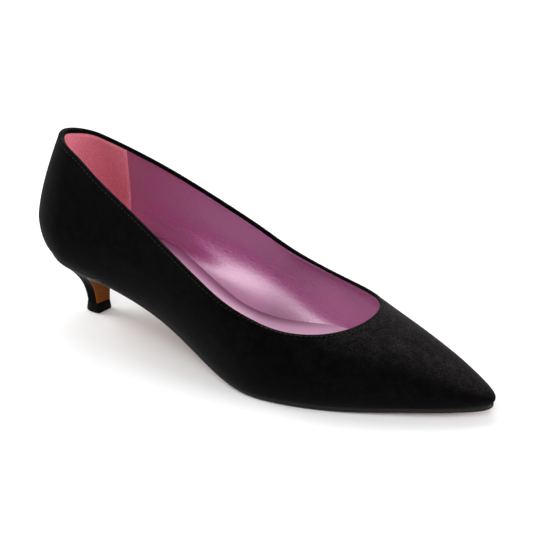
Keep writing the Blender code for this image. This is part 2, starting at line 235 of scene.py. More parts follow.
@dataclass(frozen=True)
class Last:
    """The form that the shoe is made on, from its section tables and three guide lines.

    A point on its wall has a station, which is X along the sides and turns round the ends, and a rise from 0
    at the feather edge to 1 at the collar or the ridge.

    Attributes:
        heel_cap, toe_cap: Stations between which the sides run.
        toe_end: Station of the toe tip.
        throat_cap: Station from which the collar turns across the vamp.
        throat: Station at which it meets the middle of the vamp.
        lower_start: Angle at which the wall leaves the feather edge.
        lower_share: Rise of the widest line.
        lean_power: How late the wall leans in on its way to the collar.
        arch_from, arch_to: Stations between which the leaning wall becomes an arch.
        widest_opening: Most that the collar may open, as a share of the last's width.
        least_wall: Least height of the wall above the widest line that a drop is measured against.
        origin_samples: Stations at which the widest point is looked for.
    """

    heel_cap: float = 30
    toe_cap: float = 232
    toe_end: float = 258
    throat_cap: float = 150
    throat: float = 195
    lower_start: float = math.radians(25)
    lower_share: float = 0.3
    lean_power: float = 1.4
    arch_from: float = 112
    arch_to: float = 157
    widest_opening: float = 0.985
    least_wall: float = 10
    origin_samples: int = 500

    def stations(self, heel: int, side: int, throat: int, vamp: int, toe: int, drop: float = 0) -> Array:
        """Sections from the heel back to the toe tip, closest where the collar turns across the vamp.

        Args:
            heel, side, throat, vamp, toe: Numbers of steps in each stretch.
            drop: How far the sheet stops below the collar.

        Returns:
            Stations in rising order.
        """
        throat_end = self.throat + drop
        turn = np.sin(np.linspace(0, RIGHT_ANGLE, throat + 1))
        return np.concatenate([
            np.linspace(0, self.heel_cap, heel + 1)[:-1],
            np.linspace(self.heel_cap, self.throat_cap, side + 1)[:-1],
            self.throat_cap + (throat_end - self.throat_cap) * turn,
            np.linspace(throat_end, self.toe_cap, vamp + 1)[1:],
            np.linspace(self.toe_cap, self.toe_end, toe + 1)[1:],
        ])

    def rises(self, lower: int, upper: int, crowd: float = 1.0) -> Array:
        """Rises from the feather edge to the top.

        Args:
            lower: Number of steps below the widest line.
            upper: Number of steps above it.
            crowd: Power that crowds the steps towards the top where it is above 1.

        Returns:
            Rises from 0 to 1.
        """
        low = np.linspace(0, self.lower_share, lower + 1)[:-1]
        share = 1 - (1 - np.linspace(0, 1, upper + 1)) ** crowd
        return np.concatenate([low, self.lower_share + (1 - self.lower_share) * share])

    def end_angles(self, station: Array) -> tuple[Array, Array]:
        """Angles round the two ends of the last.

        Args:
            station: Stations of any shape.

        Returns:
            Angles round the heel cap and the toe cap, 0 along the sides and a right angle at the ends.
        """
        heel = RIGHT_ANGLE * np.clip((self.heel_cap - station) / self.heel_cap, 0, 1)
        toe = RIGHT_ANGLE * np.clip((station - self.toe_cap) / (self.toe_end - self.toe_cap), 0, 1)
        return heel, toe

    def along(self, station: Array, guide: Guide) -> Array:
        """X of a guide line.

        Args:
            station: Stations of any shape.
            guide: The guide line.

        Returns:
            X at each station.
        """
        heel, toe = self.end_angles(station)
        back = self.heel_cap - (self.heel_cap - HEEL_BACK[guide]) * np.sin(heel)
        front = self.toe_cap + (TOE_TIP[guide] - self.toe_cap) * np.sin(toe)
        return np.where(station < self.heel_cap, back, np.where(station > self.toe_cap, front, station))

    def feather(self, side: Side, station: Array) -> Array:
        """Points of the feather edge, where the upper meets the sole.

        Args:
            side: Side of the foot.
            station: Stations of any shape.

        Returns:
            Points with the shape of station and a last axis of 3.
        """
        heel, toe = self.end_angles(station)
        x = self.along(station, Guide.FEATHER)
        half_width = read(LAST, f"{side.name.lower()}_feather", x) * np.cos(heel) * np.cos(toe)
        lift = read(LAST, "arch_lift", x) * np.cos(heel) * (side is Side.MEDIAL)
        y = read(LAST, "axis", x) + side.value * half_width
        return np.stack([x, y, read(BOTTOM, "height", x) + lift], -1)

    def wall(self, side: Side, station: Array, rise: Array, drop: float = 0) -> Array:
        """Points on the outside of the upper.

        Args:
            side: Side of the foot.
            station: Stations, which broadcast with rise.
            rise: Rises from 0 to 1.
            drop: How far below the collar a rise of 1 stops.

        Returns:
            Points with the broadcast shape and a last axis of 3.
        """
        station, rise = np.broadcast_arrays(np.asarray(station, float), np.asarray(rise, float))
        heel, toe = self.end_angles(station)
        feather = self.feather(side, station)

        wide_x = self.along(station, Guide.WIDE)
        wide_half = read(LAST, side.name.lower(), wide_x) * np.cos(heel) * np.cos(toe)
        wide_y = read(LAST, "axis", wide_x) + side.value * wide_half
        wide_z = feather[..., 2] + read(LAST, "wide_height", wide_x)

        top_x = self.along(station, Guide.COLLAR)
        top_half = self.opening(station, top_x, 0) * np.cos(heel)
        top_y = read(LAST, "axis", top_x) + side.value * top_half
        collar_z = read(COLLAR, "height", top_x)
        reach = self.reach(top_half, wide_half, station < self.throat)
        dropped_half = self.opening(station, top_x, drop) * np.cos(heel)
        dropped_reach = self.reach(dropped_half, wide_half, station < self.throat + drop)

        # Behind the arch the wall leans in to the collar, and ahead of it the section is an ellipse up to
        # the ridge
        arched = smooth_step(self.arch_from, self.arch_to, station)
        ridge_x = np.maximum(top_x, self.arch_from)
        ridge_z = read(RIDGE, "height", ridge_x)
        top_z = (1 - arched) * collar_z + arched * (wide_z + (ridge_z - wide_z) * np.sin(reach))
        fall = read(RIDGE, "height", ridge_x + 1) - ridge_z
        toe_drop = np.where(station > self.toe_cap, fall * (wide_x - top_x), 0)

        # Above the widest line
        share = np.clip((rise - self.lower_share) / (1 - self.lower_share), 0, 1)
        lean = share * (1 - drop / np.maximum(collar_z - wide_z, self.least_wall))
        angle = dropped_reach * share
        inward = (1 - arched) * lean**self.lean_power + arched * (1 - np.cos(angle)) / (1 - np.cos(reach))
        climb = (1 - arched) * lean + arched * np.sin(angle) / np.sin(reach)
        droop = toe_drop * (np.cos(angle) + np.sin(angle) - 1)
        upper = np.stack([
            wide_x + (top_x - wide_x) * inward,
            wide_y + (top_y - wide_y) * inward,
            wide_z + (top_z - wide_z) * climb + droop,
        ], -1)

        # Below it
        turn = self.lower_start + (RIGHT_ANGLE - self.lower_start) * np.clip(rise / self.lower_share, 0, 1)
        out = (np.sin(turn) - math.sin(self.lower_start)) / (1 - math.sin(self.lower_start))
        climb = 1 - np.cos(turn) / math.cos(self.lower_start)
        wide = np.stack([wide_x, wide_y, wide_z], -1)
        lower = feather + (wide - feather) * np.stack([out, out, climb], -1)
        return np.where((rise < self.lower_share)[..., None], lower, upper)

    def opening(self, station: Array, top_x: Array, drop: float) -> Array:
        """Half width of the collar's plan before it closes round the heel."""
        turn = np.clip((station - self.throat_cap) / (self.throat + drop - self.throat_cap), 0, 1)
        return read(COLLAR, "half_width", top_x) * np.sqrt(1 - turn**2)

    def reach(self, top_half: Array, wide_half: Array, is_open: Array) -> Array:
        """Angle round a section's ellipse at which it stops, a right angle where the vamp is closed."""
        share = np.clip(top_half / np.maximum(wide_half, MERGE), 0, self.widest_opening)
        return np.arccos(np.where(is_open, share, 0))

    def feather_edges(self, station: Array, outset: Array | float) -> tuple[Array, Array]:
        """Lateral and medial feather edges moved outwards in plan, matched station by station.

        Args:
            station: Stations from the heel back to the toe tip.
            outset: Distance outwards, or inwards where it is negative, for all stations or for each.

        Returns:
            The lateral and the medial edge.
        """
        edges = [self.feather(side, station) for side in Side]
        loop = np.concatenate([edges[0], edges[1][-2:0:-1]])
        tangent = np.roll(loop, -1, axis=0) - np.roll(loop, 1, axis=0)
        count = len(station)
        moved = np.broadcast_to(outset, count)
        moved = np.concatenate([moved, moved[-2:0:-1]])[:, None]
        loop[:, :2] += moved * unit(np.stack([tangent[:, 1], -tangent[:, 0]], 1))
        return loop[:count], np.concatenate([loop[:1], loop[:count - 2:-1]])

    def frame_origin(self) -> Array:
        """Where the frame's origin lies on the last.

        Returns:
            Its X, Y and Z on the last.
        """
        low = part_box("upper")[0] / MM
        stations = np.linspace(0, self.toe_end, self.origin_samples)
        widest = self.wall(Side.LATERAL, stations, self.lower_share)
        return np.array([HEEL_BACK[Guide.WIDE] - low.x, widest[:, 1].min() - low.y, 0])


LAST_FORM = Last()
ORIGIN = LAST_FORM.frame_origin()


def grid_faces(rows: int, columns: int, start: int = 0, closed: bool = False) -> Faces:
    """Quads of a grid of points numbered row by row.

    Args:
        rows: Number of rows.
        columns: Number of points in a row.
        start: Number of the first point.
        closed: Whether each row joins round.

    Returns:
        Faces as point numbers.
    """
    faces = []
    for row in range(rows - 1):
        here, there = start + row * columns, start + (row + 1) * columns
        for column in range(columns if closed else columns - 1):
            after = (column + 1) % columns
            faces.append((here + column, there + column, there + after, here + after))
    return faces


@dataclass
class Sheet:
    """An open surface on the last, with its faces turned outwards."""

    points: Array
    faces: Faces
    normals: Array

    @classmethod
    def from_sides(cls, lateral: Array, medial: Array) -> "Sheet":
        """One sheet from a grid of points on each side, with shared points made one.

        Args:
            lateral: Points of the lateral side, a row for each station.
            medial: Points of the medial side, with the same shape.

        Returns:
            The joined sheet.
        """
        rows, columns = lateral.shape[:2]
        points = np.concatenate([lateral.reshape(-1, 3), medial.reshape(-1, 3)])
        faces = grid_faces(rows, columns)
        faces += [face[::-1] for face in grid_faces(rows, columns, rows * columns)]
        mesh = bmesh.new()
        corners = [mesh.verts.new(point) for point in points]
        for face in faces:
            mesh.faces.new([corners[i] for i in face])
        bmesh.ops.remove_doubles(mesh, verts=mesh.verts, dist=MERGE)
        mesh.normal_update()
        mesh.verts.index_update()
        sheet = cls(
            np.array([vert.co for vert in mesh.verts]),
            [tuple(vert.index for vert in face.verts) for face in mesh.faces],
            np.array([vert.normal for vert in mesh.verts]),
        )
        mesh.free()
        return sheet

    @classmethod
    def on_last(cls, station: Array, rise: Array, drop: float) -> "Sheet":
        """The outside of the upper at some stations and rises, up to a drop below the collar."""
        return cls.from_sides(*(LAST_FORM.wall(side, station, rise, drop) for side in Side))

    def inside(self, depth: Array | float) -> Array:
        """The sheet's points moved inwards by one depth or a depth each."""
        return self.points - self.normals * np.reshape(depth, (-1, 1))

    def borders(self) -> list[Array]:
        """The sheet's free edges.

        Returns:
            Point numbers of each free edge in order, the highest edge first.
        """
        ahead = {}
        for face in self.faces:
            for first, second in zip(face, face[1:] + face[:1]):
                ahead[first, second] = True
        follow = {first: second for first, second in ahead if (second, first) not in ahead}
        loops = []
        while follow:
            loop = [next(iter(follow))]
            while loop[-1] in follow:
                loop.append(follow.pop(loop[-1]))
            loops.append(np.array(loop[:-1]))
        return sorted(loops, key=lambda loop: -self.points[loop, 2].mean())

    def distance_to(self, points: Array) -> Array:
        """How far the sheet lies from some points.

        Args:
            points: The points to measure from.

        Returns:
            Distance from each point of the sheet to the nearest of them.
        """
        tree = KDTree(len(points))
        for i, point in enumerate(points):
            tree.insert(point, i)
        tree.balance()
        return np.array([tree.find(point)[2] for point in self.points])

    def shell(self, outer: Array, inner: Array, edge_rows: dict[int, list[Array]]) -> tuple[Array, Faces]:
        """A closed solid between two copies of the sheet.

        Args:
            outer: Points of the outside.
            inner: Points of the inside.
            edge_rows: For the number of a border, rows of points that round it off between the two sides.

        Returns:
            Points and faces of the solid.
        """
        count = len(self.points)
        blocks = [outer, inner]
        faces = list(self.faces) + [tuple(i + count for i in face[::-1]) for face in self.faces]
        used = 2 * count
        for number, loop in enumerate(self.borders()):
            rows = [loop]
            for row in edge_rows.get(number, []):
                blocks.append(row)
                rows.append(np.arange(used, used + len(row)))
                used += len(row)
            rows.append(loop + count)
            for near, far in zip(rows, rows[1:]):
                for i in range(len(loop)):
                    j = (i + 1) % len(loop)
                    faces.append((near[j], near[i], far[i], far[j]))
        return np.concatenate(blocks), faces


def make_piece(
    name: str, points: Array, faces: Faces, materials: Sequence[bpy.types.Material],
    slots: Sequence[int] | None = None, sharp: float = math.radians(50),
) -> bpy.types.Object:
    """A smooth mesh object in the frame from points on the last.

    Args:
        name: Name of the piece.
        points: Points in millimetres on the last.
        faces: Faces as point numbers.
        materials: Materials of the piece.
        slots: Material number of each face.
        sharp: Angle past which an edge stays sharp.

    Returns:
        The new object.
    """
    data = bpy.data.meshes.new(name)
    data.from_pydata(((points - ORIGIN) * MM).tolist(), [], [tuple(map(int, face)) for face in faces])
    for material in materials:
        data.materials.append(material)
    if slots is not None:
        data.polygons.foreach_set("material_index", np.asarray(slots, np.int32))
    mesh = bmesh.new()
    mesh.from_mesh(data)
    bmesh.ops.remove_doubles(mesh, verts=mesh.verts, dist=MERGE * MM)
    bmesh.ops.dissolve_degenerate(mesh, edges=mesh.edges, dist=MERGE * MM)
    bmesh.ops.recalc_face_normals(mesh, faces=mesh.faces)
    mesh.to_mesh(data)
    mesh.free()
    data.shade_smooth()
    data.set_sharp_from_angle(angle=sharp)
    piece = bpy.data.objects.new(name, data)
    bpy.context.scene.collection.objects.link(piece)
    return piece


def settle(piece: bpy.types.Object, slot: str, *nodes: str) -> bpy.types.Object:
    """Puts a piece on the body and hides the solids that it stands for.

    Args:
        piece: The finished piece.
        slot: Not used.
        nodes: Solids that the piece replaces.

    Returns:
        The same piece.
    """
    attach(piece, BODY)
    if nodes:
        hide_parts(*nodes)
    LOG.info("%s: %d faces", piece.name, len(piece.data.polygons))
    return piece


def linear(hex_colour: str) -> tuple[float, float, float, float]:
    """An sRGB colour such as #8C466E as linear RGBA."""
    shares = [int(hex_colour[i:i + 2], 16) / 255 for i in (1, 3, 5)]
    return *(s / 12.92 if s <= 0.04045 else ((s + 0.055) / 1.055) ** 2.4 for s in shares), 1.0


def set_inputs(tree: bpy.types.NodeTree, node: bpy.types.Node, inputs: dict[str | int, object]) -> None:
    """Sets or links the inputs of a node.

    Args:
        tree: Shader or geometry tree.
        node: A node of the tree.
        inputs: Values or sockets for the node's inputs, by name or number.
    """
    for key, value in inputs.items():
        if isinstance(value, bpy.types.NodeSocket):
            tree.links.new(value, node.inputs[key])
        else:
            node.inputs[key].default_value = value


def add_node(
    tree: bpy.types.NodeTree, kind: str, inputs: dict[str | int, object] | None = None, **settings: object,
) -> bpy.types.Node:
    """Adds a node to a tree.

    Args:
        tree: Shader or geometry tree.
        kind: Type name of the node.
        inputs: Values or sockets for the node's inputs, by name or number.
        settings: Properties of the node.

    Returns:
        The new node.
    """
    node = tree.nodes.new(kind)
    for name, value in settings.items():
        setattr(node, name, value)
    set_inputs(tree, node, inputs or {})
    return node


def per_mm(size: float) -> float:
    """Texture scale on Object coordinates for a pattern of a size in millimetres."""
    return 1 / (size * MM)


@dataclass(frozen=True)
class Finish:
    """A material with its own name and base values."""

    name: str
    colour: str
    roughness: float
    metallic: float = 0.0
    specular: float = 0.5
    coat: float = 0.0
    coat_roughness: float = 0.1
    coat_ior: float = 1.5
    sheen: float = 0.0
    sheen_roughness: float = 0.4
    sheen_colour: str = "#FFFFFF"

    def start(self) -> tuple[bpy.types.Material, bpy.types.NodeTree, bpy.types.Node, bpy.types.NodeSocket]:
        """A new material with its constant values set.

        Returns:
            The material, its tree, its shader and its Object coordinates.
        """
        material = bpy.data.materials.new(self.name)
        material.use_nodes = True
        tree = material.node_tree
        shader = tree.nodes["Principled BSDF"]
        set_inputs(tree, shader, {
            "Base Color": linear(self.colour),
            "Roughness": self.roughness,
            "Metallic": self.metallic,
            "Specular IOR Level": self.specular,
            "Coat Weight": self.coat,
            "Coat Roughness": self.coat_roughness,
            "Coat IOR": self.coat_ior,
            "Sheen Weight": self.sheen,
            "Sheen Roughness": self.sheen_roughness,
            "Sheen Tint": linear(self.sheen_colour),
        })
        material.diffuse_color = linear(self.colour)
        return material, tree, shader, add_node(tree, "ShaderNodeTexCoord").outputs["Object"]


@dataclass(frozen=True)
class Velvet(Finish):
    """Cotton velvet, woven with a short cut pile: almost no light comes back along the pile, and the tips
    catch a soft grey sheen where it lies across the light, with a painted grey highlight on faces that point
    upwards and lighter patches where it was brushed the other way.

    Attributes:
        brushed: Tone of the patches that were brushed the other way.
        painted_sheen: Colour of the painted highlight on faces that point upwards.
        painted_sheen_from: Upward part of the normal from which the painted highlight starts.
        brush_size: Size of the brushed patches.
        pile_size: Size of the specks in the pile.
        pile_depth: Depth of the pile.
        pile_strength: Strength of its relief.
        patch_range, speckle_range, mottle_range: Noise values between which each of the three rises.
        least_speckle, least_mottle: What is left of specks and mottling at their weakest.
    """

    brushed: str = "#0C0B0B"
    painted_sheen: str = "#2C292B"
    painted_sheen_from: float = 0.54
    brush_size: float = 6.0
    pile_size: float = 0.7
    pile_depth: float = 0.10
    pile_strength: float = 0.8
    patch_range: tuple[float, float] = (0.42, 0.72)
    speckle_range: tuple[float, float] = (0.38, 0.68)
    mottle_range: tuple[float, float] = (0.35, 0.65)
    least_speckle: float = 0.05
    least_mottle: float = 0.4

    def material(self) -> bpy.types.Material:
        """The finished material.

        Returns:
            The material with its nodes linked.
        """
        material, tree, shader, place = self.start()
        # The pile is far finer than this, drawn as coarse as it needs to be to show
        pile = add_node(tree, "ShaderNodeTexNoise", {
            "Vector": place, "Scale": per_mm(self.pile_size), "Detail": 3.0, "Roughness": 0.65,
        })
        brushing = add_node(tree, "ShaderNodeTexNoise", {
            "Vector": place, "Scale": per_mm(self.brush_size), "Detail": 4.0, "Roughness": 0.6,
            "Distortion": 0.7,
        })
        patches = add_node(tree, "ShaderNodeMapRange", {
            "Value": brushing.outputs["Fac"],
            "From Min": self.patch_range[0], "From Max": self.patch_range[1],
        })
        speckle = add_node(tree, "ShaderNodeMapRange", {
            "Value": pile.outputs["Fac"], "To Min": self.least_speckle,
            "From Min": self.speckle_range[0], "From Max": self.speckle_range[1],
        })
        share = add_node(tree, "ShaderNodeMath", {
            0: patches.outputs["Result"], 1: speckle.outputs["Result"],
        }, operation="MULTIPLY")
        colour = add_node(tree, "ShaderNodeMix", {
            0: share.outputs[0], MIX_FIRST: linear(self.colour), MIX_SECOND: linear(self.brushed),
        }, data_type="RGBA")
        # Painted highlight: faces that point upwards are mixed towards a lighter grey, as if the pile tips
        # caught the light from above
        facing = add_node(tree, "ShaderNodeSeparateXYZ", {
            "Vector": add_node(tree, "ShaderNodeTexCoord").outputs["Normal"],
        })
        facing_up = add_node(tree, "ShaderNodeMapRange", {
            "Value": facing.outputs["Z"], "From Min": self.painted_sheen_from, "From Max": 1.0,
        }, interpolation_type="SMOOTHSTEP")
        mottled = add_node(tree, "ShaderNodeMapRange", {
            "Value": brushing.outputs["Fac"], "To Min": self.least_mottle,
            "From Min": self.mottle_range[0], "From Max": self.mottle_range[1],
        })
        sheen_speckle = add_node(tree, "ShaderNodeMath", {
            0: speckle.outputs["Result"], 1: mottled.outputs["Result"],
        }, operation="MULTIPLY")
        painted_sheen_share = add_node(tree, "ShaderNodeMath", {
            0: facing_up.outputs["Result"], 1: sheen_speckle.outputs[0],
        }, operation="MULTIPLY")
        with_painted_sheen = add_node(tree, "ShaderNodeMix", {
            0: painted_sheen_share.outputs[0], MIX_FIRST: colour.outputs[MIX_RESULT], MIX_SECOND: linear(self.painted_sheen),
        }, data_type="RGBA")
        bump = add_node(tree, "ShaderNodeBump", {
            "Height": pile.outputs["Fac"], "Strength": self.pile_strength, "Distance": self.pile_depth * MM,
        })
        set_inputs(tree, shader, {
            "Base Color": with_painted_sheen.outputs[MIX_RESULT], "Normal": bump.outputs["Normal"],
        })
        return material


@dataclass(frozen=True)
class FoilLeather(Finish):
    """Kid leather pressed with a metallic foil: a broad bright gloss towards the light that falls to a deep
    plum away from it, broken up by fine wrinkles.

    Attributes:
        shade: Second tone of its soft clouds.
        painted_shade: Colour of the painted shade at the edges, where the mesh marks them.
        cloud_size, wrinkle_size, grain_size: Sizes of the three patterns.
        wrinkle_stretch: Scale of the wrinkles along X, Y and Z, longer where it is below 1.
        wrinkle_depth, grain_depth: Depths of the two reliefs.
        gloss_spread: How far the roughness goes up and down with the wrinkles.
    """

    shade: str = "#8E3F6E"
    painted_shade: str = "#8E3F6E"
    cloud_size: float = 18.0
    wrinkle_size: float = 1.6
    wrinkle_stretch: tuple[float, float, float] = (1.0, 0.7, 0.4)
    wrinkle_depth: float = 0.12
    grain_size: float = 0.7
    grain_depth: float = 0.02
    gloss_spread: float = 0.06

    def material(self) -> bpy.types.Material:
        """The finished material.

        Returns:
            The material with its nodes linked.
        """
        material, tree, shader, place = self.start()
        cloud = add_node(tree, "ShaderNodeTexNoise", {
            "Vector": place, "Scale": per_mm(self.cloud_size), "Detail": 3.0, "Roughness": 0.55,
        })
        colour = add_node(tree, "ShaderNodeMix", {
            0: cloud.outputs["Fac"], MIX_FIRST: linear(self.colour), MIX_SECOND: linear(self.shade),
        }, data_type="RGBA")
        # Painted shade: the colour turns darker where the mesh's attribute marks it
        edge = add_node(tree, "ShaderNodeAttribute", attribute_name=PAINTED_SHADE_SHARE)
        with_painted_shade = add_node(tree, "ShaderNodeMix", {
            0: edge.outputs["Fac"], MIX_FIRST: colour.outputs[MIX_RESULT], MIX_SECOND: linear(self.painted_shade),
        }, data_type="RGBA")
        stretched = add_node(tree, "ShaderNodeMapping", {"Vector": place, "Scale": self.wrinkle_stretch})
        wrinkles = add_node(tree, "ShaderNodeTexNoise", {
            "Vector": stretched.outputs["Vector"], "Scale": per_mm(self.wrinkle_size), "Detail": 4.0,
            "Roughness": 0.6, "Distortion": 0.4,
        })
        grain = add_node(tree, "ShaderNodeTexVoronoi", {"Vector": place, "Scale": per_mm(self.grain_size)})
        gloss = add_node(tree, "ShaderNodeMapRange", {
            "Value": wrinkles.outputs["Fac"], "From Min": NOISE_RANGE[0], "From Max": NOISE_RANGE[1],
            "To Min": self.roughness - self.gloss_spread, "To Max": self.roughness + self.gloss_spread,
        })
        wrinkled = add_node(tree, "ShaderNodeBump", {
            "Height": wrinkles.outputs["Fac"], "Strength": 1.0, "Distance": self.wrinkle_depth * MM,
        })
        grained = add_node(tree, "ShaderNodeBump", {
            "Height": grain.outputs["Distance"], "Strength": 1.0, "Distance": self.grain_depth * MM,
            "Normal": wrinkled.outputs["Normal"],
        })
        set_inputs(tree, shader, {
            "Base Color": with_painted_shade.outputs[MIX_RESULT], "Roughness": gloss.outputs["Result"],
            "Normal": grained.outputs["Normal"],
        })
        return material


@dataclass(frozen=True)
class Grained(Finish):
    """A plain finish over a fine random grain, with a second tone in soft clouds.

    Attributes:
        tone: The second tone.
        cloud_size, grain_size: Sizes of the two patterns.
        grain_depth: Depth of the grain.
        stretch: Scale of both patterns along X, Y and Z, longer where it is below 1.
        gloss_spread: How far the roughness goes up and down with the grain.
    """

    tone: str = "#000000"
    cloud_size: float = 8.0
    grain_size: float = 0.5
    grain_depth: float = 0.03
    stretch: tuple[float, float, float] = (1.0, 1.0, 1.0)
    gloss_spread: float = 0.08

    def material(self) -> bpy.types.Material:
        """The finished material.

        Returns:
            The material with its nodes linked.
        """
        material, tree, shader, place = self.start()
        mapping = add_node(tree, "ShaderNodeMapping", {"Vector": place, "Scale": self.stretch})
        stretched = mapping.outputs["Vector"]
        cloud = add_node(tree, "ShaderNodeTexNoise", {
            "Vector": stretched, "Scale": per_mm(self.cloud_size), "Detail": 4.0, "Roughness": 0.6,
        })
        grain = add_node(tree, "ShaderNodeTexNoise", {
            "Vector": stretched, "Scale": per_mm(self.grain_size), "Detail": 2.0, "Roughness": 0.6,
        })
        colour = add_node(tree, "ShaderNodeMix", {
            0: cloud.outputs["Fac"], MIX_FIRST: linear(self.colour), MIX_SECOND: linear(self.tone),
        }, data_type="RGBA")
        gloss = add_node(tree, "ShaderNodeMapRange", {
            "Value": grain.outputs["Fac"], "From Min": NOISE_RANGE[0], "From Max": NOISE_RANGE[1],
            "To Min": max(self.roughness - self.gloss_spread, 0),
            "To Max": min(self.roughness + self.gloss_spread, 1),
        })
        bump = add_node(tree, "ShaderNodeBump", {
            "Height": grain.outputs["Fac"], "Strength": 1.0, "Distance": self.grain_depth * MM,
        })
        set_inputs(tree, shader, {
            "Base Color": colour.outputs[MIX_RESULT], "Roughness": gloss.outputs["Result"],
            "Normal": bump.outputs["Normal"],
        })
        return material


# Cotton velvet, dyed black: it swallows the light, apart from a faint grey bloom from its sheen and a painted
# grey highlight on faces that point upwards
BLACK_VELVET = Velvet(
    "cotton_velvet_black", "#020202", 0.95, specular=0.02, sheen=0.05, sheen_roughness=0.45,
    sheen_colour="#F2EEEE",
)
# Kid leather under a glossy foil: deep plum with a bright pink sheen that the wrinkles break up
PINK_LINING = FoilLeather(
    "kid_leather_pink_foil", "#B44E94", 0.43, metallic=0.92, shade="#9A417B", coat=1.0, coat_roughness=0.36,
    coat_ior=2.6, wrinkle_size=1.4, wrinkle_stretch=(0.7, 0.9, 1.0), wrinkle_depth=0.7, grain_depth=0.06,
)
# Kid leather under a thin, rubbed foil: pale lilac, duller than the lining, with painted shade at its edges
# against the lining
PINK_SOCK = FoilLeather(
    "kid_leather_lilac_foil", "#F9D4EB", 0.55, metallic=0.25, specular=0.3, shade="#EEC0DE", painted_shade="#844B6B",
    wrinkle_depth=0.08,
)
# Split suede, dyed through: a soft dull nap with a warm bloom at its edges
CORAL_SUEDE = Grained(
    "split_suede_coral", "#E28C9A", 0.9, specular=0.15, sheen=0.1, sheen_colour="#FFC9BE", tone="#AE5464",
    cloud_size=1.1, grain_size=0.6, grain_depth=0.10,
)
# Vegetable-tanned sole leather, rolled and burnished: an even tan with a low gloss and faint fibres along it
TAN_SOLE = Grained(
    "vegetable_tanned_leather_tan", "#7D451B", 0.55, specular=0.05, tone="#5F3112", cloud_size=14.0,
    grain_size=0.5, grain_depth=0.03, stretch=(0.4, 1.0, 0.6),
)
# Waxed edge ink on the cut leather: black with a dull polish that shows the cut as a fine ripple
EDGE_INK = Grained(
    "edge_ink_black", "#080808", 0.42, specular=0.18, tone="#111111", cloud_size=4.0, grain_size=0.6,
    grain_depth=0.03, stretch=(0.3, 0.3, 1.0),
)
# Kid leather pulled over the heel block: black, with a satin gloss along its narrow curves
HEEL_LEATHER = Grained(
    "kid_leather_black", "#030303", 0.5, specular=0.015, tone="#070707", cloud_size=6.0, grain_size=0.6,
    grain_depth=0.02,
)
# Moulded polyurethane: black, with a low gloss that dulls where it wears
TOP_PIECE_RUBBER = Grained(
    "polyurethane_black", "#030303", 0.45, specular=0.05, tone="#070707", cloud_size=3.0, grain_size=0.7,
    grain_depth=0.02,
)
# Spun polyester thread: nearly black with an olive cast, so that it just stands off the velvet
DARK_THREAD = Grained(
    "polyester_thread_dark", "#1C1A11", 0.7, specular=0.1, tone="#2A271A", cloud_size=1.5, grain_size=0.3,
    grain_depth=0.03,
)
# Seamless background paper: matt and almost white
PAPER = Grained(
    "background_paper_white", "#F4F4F4", 0.9, specular=0.1, tone="#F1F1F1", cloud_size=300.0, grain_size=2.0,
    grain_depth=0.01,
)


def loft(loops: Array, capped: bool = False) -> tuple[Array, Faces]:
    """A solid through closed loops of points.

    Args:
        loops: Points with the shape loops, points in a loop, 3.
        capped: Whether the first and the last loop are filled, which isn't needed where they close to a line.

    Returns:
        Points and faces, with the faces between the loops first.
    """
    rows, columns = loops.shape[:2]
    faces = grid_faces(rows, columns, closed=True)
    for end in (0, (rows - 1) * columns) if capped else ():
        for i in range((columns - 1) // 2):
            j = columns - 1 - i
            faces.append(tuple(dict.fromkeys((end + i, end + i + 1, end + j - 1, end + j))))
    return loops.reshape(-1, 3), faces


def across(lateral: Array, medial: Array, steps: int) -> Array:
    """Straight rows of points from one edge to the other."""
    share = np.linspace(0, 1, steps + 1)[None, :, None]
    return lateral[:, None] * (1 - share) + medial[:, None] * share


def between(points: Array, parts: int) -> Array:
    """A closed loop with each step cut into equal parts."""
    share = np.linspace(0, 1, parts, endpoint=False)[None, :, None]
    return (points[:, None] * (1 - share) + np.roll(points, -1, axis=0)[:, None] * share).reshape(-1, 3)


